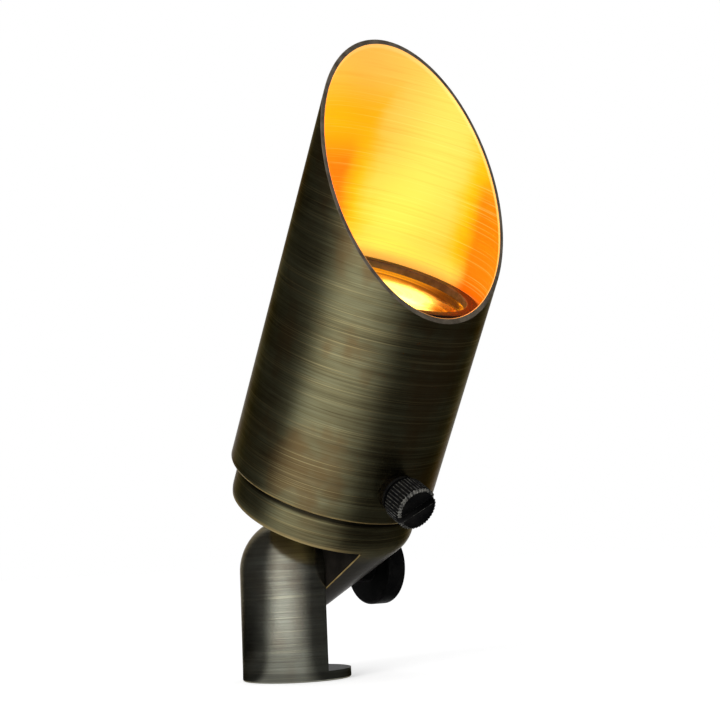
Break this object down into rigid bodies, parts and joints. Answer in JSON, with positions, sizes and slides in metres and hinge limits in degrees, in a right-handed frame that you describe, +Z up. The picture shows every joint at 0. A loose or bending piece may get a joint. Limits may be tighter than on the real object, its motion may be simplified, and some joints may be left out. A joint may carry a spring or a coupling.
{
  "type": "garden accent spotlight head",
  "caption": "Brass bullet spotlight head on a half-lap knuckle stem, with a sliding slant-cut glare shroud, clamp knob, thumbscrew and a two-pin reflector lamp behind glass.",
  "frame": {"origin": "centre of the stem's flat bottom face, where it seats on a stake or canopy", "axes": "+Z up along the stem, +X along the knuckle pivot towards the clamp knob, -Y the way the head leans at rest"},
  "size_m": [0.06, 0.088, 0.18],
  "materials": {
    "bronze": "antique bronze patina, brushed round the axis",
    "black_hardware": "satin black oxide",
    "steel": "plain stainless",
    "clear_glass": "tempered, clear",
    "lamp_lens": "moulded clear optic, lit warm",
    "lamp_glow": "lit warm-white emitter",
    "lamp_metal": "die-cast, plain",
    "seal_rubber": "matt black",
    "silicone": "silicone sleeve",
    "socket_ceramic": "unglazed ceramic",
    "lamp_plastic": "moulded white",
    "pin_metal": "plated pins"
  },
  "bodies": {
    "stem": {"stem": "bronze", "stem_grommet": "seal_rubber", "lap_seal": "seal_rubber"},
    "clamp_washer": {"clamp_washer": "black_hardware"},
    "clamp_screw": {"clamp_knob": "black_hardware", "clamp_stud": "steel"},
    "head": {"lamp_housing": "bronze", "front_ring_seal": "seal_rubber", "lamp_cup": "lamp_metal", "lamp_board": "lamp_plastic", "lamp_emitter": "lamp_glow", "lamp_optic": "lamp_lens", "lamp_base": "lamp_plastic", "lamp_pins": "pin_metal", "lamp_socket": "socket_ceramic", "socket_bridge": "steel", "socket_screws": "steel", "bridge_screws": "steel", "floor_grommet": "seal_rubber", "socket_leads": "silicone"},
    "friction_rings": {"friction_ring_low": "seal_rubber", "friction_ring_high": "seal_rubber"},
    "shroud": {"shroud": "bronze", "shroud_boss": "bronze"},
    "screw_washer": {"shroud_screw_washer": "black_hardware"},
    "thumbscrew": {"shroud_thumbscrew": "black_hardware"},
    "lens": {"front_lens": "clear_glass", "lens_seal": "seal_rubber"},
    "front_ring": {"front_ring": "bronze"}
  },
  "joints": [
    {"name": "head_tilt", "type": "hinge", "parent": "stem", "child": "head", "pos_m": [0, 0, 0.0315], "axis": [1, 0, 0], "range_deg": [-120.5, 59.5]},
    {"name": "clamp_travel", "type": "slide", "parent": "stem", "child": "clamp_washer", "axis": [1, 0, 0], "range_m": [0, 0.002]},
    {"name": "clamp_turn", "type": "hinge", "parent": "clamp_washer", "child": "clamp_screw", "pos_m": [0.03, 0, 0.0315], "axis": [1, 0, 0], "range_deg": [0, 720]},
    {"name": "shroud_turn", "type": "hinge", "parent": "head", "child": "friction_rings", "pos_m": [0.004, -0.03045, 0.0832], "axis": [0, -0.5075, 0.8616], "continuous": true},
    {"name": "shroud_slide", "type": "slide", "parent": "friction_rings", "child": "shroud", "axis": [0, -0.5075, 0.8616], "range_m": [-0.01, 0.012]},
    {"name": "thumbscrew_travel", "type": "slide", "parent": "shroud", "child": "screw_washer", "axis": [0, -0.8616, -0.5075], "range_m": [0, 0.0024]},
    {"name": "thumbscrew_turn", "type": "hinge", "parent": "screw_washer", "child": "thumbscrew", "pos_m": [0.004, -0.05299, 0.04856], "axis": [0, -0.8616, -0.5075], "range_deg": [0, 1080]},
    {"name": "front_ring_travel", "type": "slide", "parent": "head", "child": "lens", "axis": [0, -0.5075, 0.8616], "range_m": [0, 0.0045]},
    {"name": "front_ring_turn", "type": "hinge", "parent": "lens", "child": "front_ring", "pos_m": [0.004, -0.04466, 0.10732], "axis": [0, -0.5075, 0.8616], "range_deg": [0, 1080]}
  ],
  "couplings": [
    {"joint": "clamp_turn", "follows": "clamp_travel", "rad_per_m": 6283.2},
    {"joint": "thumbscrew_turn", "follows": "thumbscrew_travel", "rad_per_m": 7854},
    {"joint": "front_ring_turn", "follows": "front_ring_travel", "rad_per_m": 4188.8}
  ]
}
